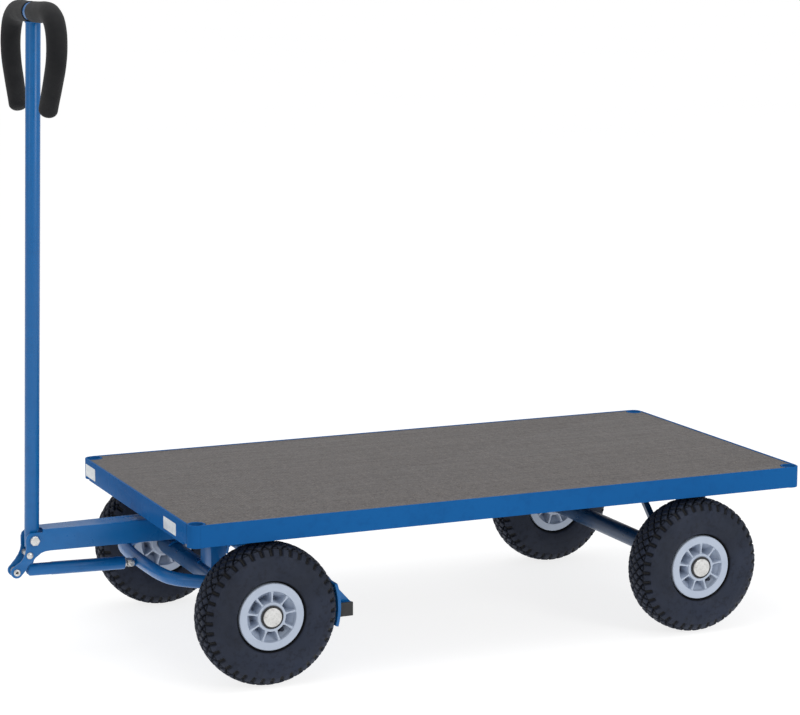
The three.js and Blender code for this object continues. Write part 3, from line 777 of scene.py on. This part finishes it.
def build_underside():
    # Painted shade: darker copies of the blue paint for the axles and the carriers under the deck.
    refined("rear_axle", 1.2, 2, look="underside_shade_paint")
    refined("front_axle", 1.2, 2, look="shade_paint")
    for side, _ in SIDES:
        refined(f"axle_carrier_{side}", 1.5, 2, look="underside_shade_paint")
        refined(f"brake_guide_{side}", 1.2, 2)
    for node in ("axle_post", "turntable_plate", "bogie_plate", "turntable_ring_upper",
                 "turntable_ring_lower", "kingpin"):
        refined(node, 0.8, 2)
    axle_low, axle_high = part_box("rear_axle")
    axle = (axle_low + axle_high) / 2
    radius = (axle_high.z - axle_low.z) / 2 + 0.8 * MM
    steering_x = JOINT_AT["steering"].x
    weld_axle_plates("carrier_welds", "chassis", "axle_carrier", (axle.x, axle.z), radius)
    weld_axle_plates("guide_welds", "bogie", "brake_guide", (steering_x, axle.z), radius)
    low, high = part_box("axle_post")
    weld("post_welds", "bogie", [
        [Vector((low.x - 0.4 * MM, y, axle.z + 8 * MM)) for y in (low.y, 0, high.y)],
        [Vector((high.x + 0.4 * MM, y, axle.z + 14 * MM)) for y in (low.y, 0, high.y)],
        circle((steering_x, low.y - 0.8 * MM, axle.z), radius, (0, 1, 0), UNDER_ARC[0], 310),
        circle((steering_x, high.y + 0.8 * MM, axle.z), radius, (0, 1, 0), UNDER_ARC[0], 310),
    ])
    down = (0, 0, -1)
    inset = 14 * MM
    low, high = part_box("turntable_plate")
    corners = [(x, y) for x in (low.x + inset, high.x - inset) for y in (low.y + inset, high.y - inset)]
    bolt_heads("turntable_bolts", "chassis", [((x, y, low.z), down) for x, y in corners], 13, 5)
    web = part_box("deck_board")[0].z - MEMBER_WEB
    heads = [((axle.x, sign * MEMBER_BOLT_Y, web), down) for _, sign in SIDES]
    bolt_heads("rear_member_bolts", "chassis", heads, 13, 5)


def weld_axle_plates(name, body, plate, axle, radius):
    """Beads round an axle, given by its x and z, on both faces of the left and the right plate."""
    x, z = axle
    runs = []
    for side, _ in SIDES:
        low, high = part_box(f"{plate}_{side}")
        for y in (low.y - 0.8 * MM, high.y + 0.8 * MM):
            runs.append(circle((x, y, z), radius, (0, 1, 0), *UNDER_ARC))
    weld(name, body, runs)


# ---------------------------------------------------------------- drawbar and handle
# The handle's bend from the collar to the end of one grip, as y and z in mm from the handle's middle.
GRIP_BEND = [(9.2, 0), (45, 0), (80, 1), (110, -2), (136, -15), (150, -38), (152.5, -64), (146, -90),
             (126, -126), (108, -155), (95, -177)]
GRIP_RADIUS = 18.9 * MM
GRIP_STEPS = 150
TAPER_FROM = 60  # the step where the grip starts to taper


def grip_mesh(side, sign):
    """A foam grip on one arm of the handle, with the drawbar upright and its pivot at the origin."""
    centres = spline([(0, sign * y * MM, HANDLE_REACH + z * MM) for y, z in GRIP_BEND], GRIP_STEPS)
    end = rounded_end(GRIP_RADIUS, centres, 11 * MM)
    tapering = (centres[-1] - centres[TAPER_FROM]).length

    def skin(i, angle):
        from_start = (centres[i] - centres[0]).length
        from_end = (centres[-1] - centres[i]).length
        lip = 1.4 * MM * max(0.0, 1 - from_start / (2.5 * MM)) ** 2
        unevenness = 0.35 * MM * noise.noise(Vector((i * 0.05, 3 * sign, math.cos(angle) * 1.5)))
        taper = 2.0 * MM * max(0.0, 1 - from_end / tapering)
        return end(i, angle) - lip - abs(unevenness) - taper

    return mesh_from(f"grip_{side}", *tube(centres, skin, 40), angle=60)


def build_drawbar():
    stand = Matrix.Translation(JOINT_AT["drawbar_tilt"]) @ Matrix.Rotation(-LEAN, 4, "Y")
    refined("drawbar_tube", 0.8, 2)
    refined("brake_tongue", 1.5, 2)
    refined("handle_collar", 0.9, 2)
    for side, sign in SIDES:
        mesh = grip_mesh(side, sign)
        grip = place(f"grip_{side}_fine", mesh, "foam", "drawbar", (f"grip_{side}",), stand)
    NODES["handle_bar"].data.materials.clear()
    NODES["handle_bar"].data.materials.append(MATERIAL["black_plastic"])
    tube_end = circle((0, 0, HANDLE_REACH - 18.6 * MM), 13.6 * MM, (0, 0, 1))
    weld("handle_weld", "drawbar", [[stand @ p for p in tube_end]], 1.4)


# ---------------------------------------------------------------- beam, brake and rod
def through_bolt(node, wall, head, sleeve):
    """A bolt across two walls, turned about Y, with sizes in mm.

    wall is the way from the middle to a wall's outer face, head the profile outside it, and sleeve
    the radius of what is between the walls.
    """
    low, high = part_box(node)
    half = [*head, (head[-1][0] * 0.6, -0.2), (sleeve, -4.4), (sleeve, -wall)]
    half = [(r * MM, (wall + 0.3 + h) * MM) for r, h in half]
    profile = half + [(r, -h) for r, h in reversed(half[:-1])]
    if head[0][0] > 0:
        profile.append(profile[0])
    mesh = mesh_from(node + "_turned", *turned(profile, 40), angle=50)
    place(node + "_fine", mesh, "zinc", BODY_OF[node], (node,), Matrix.Translation((low + high) / 2))


def build_bogie():
    refined("drawbar_beam", 0.9, 2)
    domed_head = [(0, 3.4), (2.6, 3.25), (4.8, 2.5), (6.1, 1.3), (6.4, 0.3), (6.4, 0)]
    hollow_end = [(2.2, 1.5), (2.6, 2.6), (4.4, 3.3), (6.0, 2.6), (6.5, 1.4), (6.5, 0)]
    through_bolt("spacer_bolt", 20, domed_head, 6)
    through_bolt("end_pin", 13, hollow_end, 7)
    pivot = JOINT_AT["drawbar_tilt"]
    seat, shank_radius, shank_half = 20.3, 6 * MM, 21 * MM  # the ears' outer faces are at the seat, in mm
    parts = []
    for y, thread in ((seat, None), (-seat, 1.0)):
        head = hexagon_head(16, 4.6, thread=thread, washer=1.06)
        parts.append(moved(head, facing(pivot + Vector((0, y * MM, 0)), (0, y, 0))))
    shank = [(0, -shank_half), (shank_radius, -shank_half), (shank_radius, shank_half), (0, shank_half)]
    parts.append(moved(turned(shank, 32), Matrix.Translation(pivot)))
    mesh = mesh_from("pivot_bolt_turned", *joined(*parts), angle=30)
    place("pivot_bolt_fine", mesh, "zinc", "bogie", ("pivot_bolt",))


# The left half of the brake's bow, in mm: x from a point BOW_ORIGIN behind the steering axis, y from
# the trolley's middle and z from the floor.
BOW_ORIGIN = 478
BOW_Z = 168
BOW_NOSE = (612, 0, BOW_Z)
BOW_ARM = [(611, 60), (608.5, 100), (602, 134), (587, 161), (566, 182), (541, 202), (520, 216), (500, 222),
           (440, 222), (380, 222)]
BOW_END = [(350, 222, 164), (332, 222, 152), (325, 222, 136.5)]  # the bend down to the bar
BOW_RADIUS = 12.4 * MM


def build_brake():
    origin = JOINT_AT["steering"].x - BOW_ORIGIN * MM
    side = [(x, y, BOW_Z) for x, y in BOW_ARM] + BOW_END
    path = [(x, -y, z) for x, y, z in reversed(side)] + [BOW_NOSE] + side
    centres = spline([(origin + x * MM, y * MM, z * MM) for x, y, z in path], 260)
    bow = mesh_from("brake_bow", *tube(centres, BOW_RADIUS, 32), angle=60)
    place("brake_bow_fine", bow, "blue_paint", "brake", ("brake_bow",))
    refined("brake_bar", 2.2, 3)
    refined("brake_lug", 1.0, 2)
    for side, _ in SIDES:
        refined(f"bar_cap_{side}", 1.6, 3)
        refined(f"brake_shoe_{side}", 1.0, 2)
    foot_x, foot_y, _ = BOW_END[-1]
    low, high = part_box("brake_bar")
    shoe_low, shoe_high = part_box("brake_shoe_left")
    y0, y1 = shoe_low.y + 4 * MM, shoe_high.y - 14 * MM
    runs = []
    for _, sign in SIDES:
        foot = (origin + foot_x * MM, sign * foot_y * MM, high.z + 0.8 * MM)
        runs.append(circle(foot, BOW_RADIUS + 0.4 * MM, (0, 0, 1)))
        for z in (low.z - 0.4 * MM, high.z + 0.4 * MM):
            runs.append([Vector((high.x + 0.6 * MM, sign * y, z)) for y in (y0, (y0 + y1) / 2, y1)])
    weld("brake_welds", "brake", runs, 1.8)


def fork_mesh():
    """A clevis from its pin at the origin forward along +X: two cheeks, a neck and a lock nut."""
    eye = 6.4  # the radius of the cheeks' round ends; sizes are in mm
    turns = [math.radians(a) for a in range(-90, 91, 15)]
    outline = [(-eye * math.cos(t), eye * math.sin(t)) for t in turns]
    outline += [(6.8, eye), (7.6, 5.2), (7.6, -5.2), (6.8, -eye)]
    cheek = ((4.7, 0.96), (5.1, 1.0), (9.0, 1.0), (9.4, 0.96))  # y, and the size of the outline there
    neck = [(0, 6.6), (5.8, 6.6), (6.2, 7.0), (6.2, 7.5), (4.0, 7.9), (4.0, 11.9), (0, 11.9)]
    nut = ((8.6, 0.9), (9.0, 1.0), (11.5, 1.0), (11.9, 0.9))  # x, and the size of the hexagon there
    nut_radius = 8.2
    parts = []
    for _, sign in SIDES:
        parts.append(loft([[Vector((x * k, sign * y, z * k)) for x, z in outline] for y, k in cheek]))
    parts.append(moved(turned(neck, 32), Matrix.Rotation(-math.pi / 2, 4, "Z")))
    rings = []
    for x, k in nut:
        corners = [(math.cos(TAU * i / 6), math.sin(TAU * i / 6)) for i in range(6)]
        rings.append([Vector((x, k * nut_radius * c, k * nut_radius * s)) for c, s in corners])
    parts.append(loft(rings))
    points, faces = joined(*parts)
    return mesh_from("rod_fork", [p * MM for p in points], faces, angle=30)


def build_rod():
    refined("brake_rod", 1.6, 3)
    pivot = JOINT_AT["brake_rod_tilt"]
    along = Matrix.Translation(pivot) @ Matrix.Rotation(-ROD_RISE, 4, "Y")
    place("rod_fork_fine", fork_mesh(), "zinc", "brake_rod", ("rod_fork",), along)
    cheek_face = 9.3 * MM
    heads = [((pivot.x, sign * cheek_face, pivot.z), (0, sign, 0)) for _, sign in SIDES]
    bolt_heads("fork_pin", "brake_rod", heads, 9, 3)


# ---------------------------------------------------------------- stage
FLOOR_REACH = 90
FLOOR_GREY = 0.34
FLOOR_GLOW = 0.80
WORLD_LIGHT = 0.6
CAMERA_AT = (1.8501, 4.2816, 1.3029)
CAMERA_YAW = math.radians(246.22)
CAMERA_DOWN = math.radians(9.52)
SENSOR = 36  # mm, like the lens
LENS = 110.4975


def build_floor():
    """A plain pale floor. It glows, so that it stays white around the trolley's shadow."""
    corners = [(-FLOOR_REACH, -FLOOR_REACH), (FLOOR_REACH, -FLOOR_REACH), (FLOOR_REACH, FLOOR_REACH),
               (-FLOOR_REACH, FLOOR_REACH)]
    mesh = bpy.data.meshes.new("floor")
    mesh.from_pydata([(x, y, 0) for x, y in corners], [], [(0, 1, 2, 3)])
    floor = bpy.data.objects.new("floor", mesh)
    bpy.context.scene.collection.objects.link(floor)
    look = Look("floor", (FLOOR_GREY,) * 3, 0.9, specular=0.0)
    look.mix(look.noise(0.5), (FLOOR_GREY * 0.97, FLOOR_GREY * 0.97, FLOOR_GREY * 0.98), 0.4, 0.8)
    look.shader.inputs["Emission Color"].default_value = (1, 1, 1, 1)
    look.shader.inputs["Emission Strength"].default_value = FLOOR_GLOW
    mesh.materials.append(look.material)


def area_light(name, location, aim, size, power, gloss=1.0):
    """A soft box of a size in metres and a power in watts, aimed at a point."""
    light = bpy.data.lights.new(name, "AREA")
    light.shape = "RECTANGLE"
    light.size, light.size_y = size
    light.energy = power
    light.specular_factor = gloss
    lamp = bpy.data.objects.new(name, light)
    bpy.context.scene.collection.objects.link(lamp)
    lamp.location = location
    lamp.rotation_euler = (Vector(aim) - Vector(location)).to_track_quat("-Z", "Y").to_euler()


def build_lights():
    world = bpy.data.worlds.new("studio")
    bpy.context.scene.world = world
    world.use_nodes = True
    background = world.node_tree.nodes["Background"]
    background.inputs["Color"].default_value = (1, 1, 1, 1)
    background.inputs["Strength"].default_value = WORLD_LIGHT
    area_light("overhead", (0.2, 0.3, 3.4), (0, 0, 0.3), (2.4, 1.8), 36)
    area_light("camera_right", (-1.6, 4.2, 2.3), (0, 0, 0.4), (1.2, 1.8), 50)
    area_light("camera_left", (4.0, 1.2, 2.0), (0.2, 0, 0.3), (0.9, 1.8), 8, gloss=0.3)


def build_camera():
    camera = bpy.data.objects.new("camera", bpy.data.cameras.new("camera"))
    bpy.context.scene.collection.objects.link(camera)
    camera.location = CAMERA_AT
    level = math.cos(CAMERA_DOWN)
    looking = Vector((math.cos(CAMERA_YAW) * level, math.sin(CAMERA_YAW) * level, -math.sin(CAMERA_DOWN)))
    camera.rotation_euler = looking.to_track_quat("-Z", "Y").to_euler()
    camera.data.lens = LENS
    camera.data.sensor_width = SENSOR
    camera.data.clip_end = 300
    bpy.context.scene.camera = camera
    bpy.context.scene.view_settings.view_transform = "Standard"


build_deck()
build_labels()
build_underside()
build_wheels()
build_drawbar()
build_bogie()
build_brake()
build_rod()
build_floor()
build_lights()
build_camera()
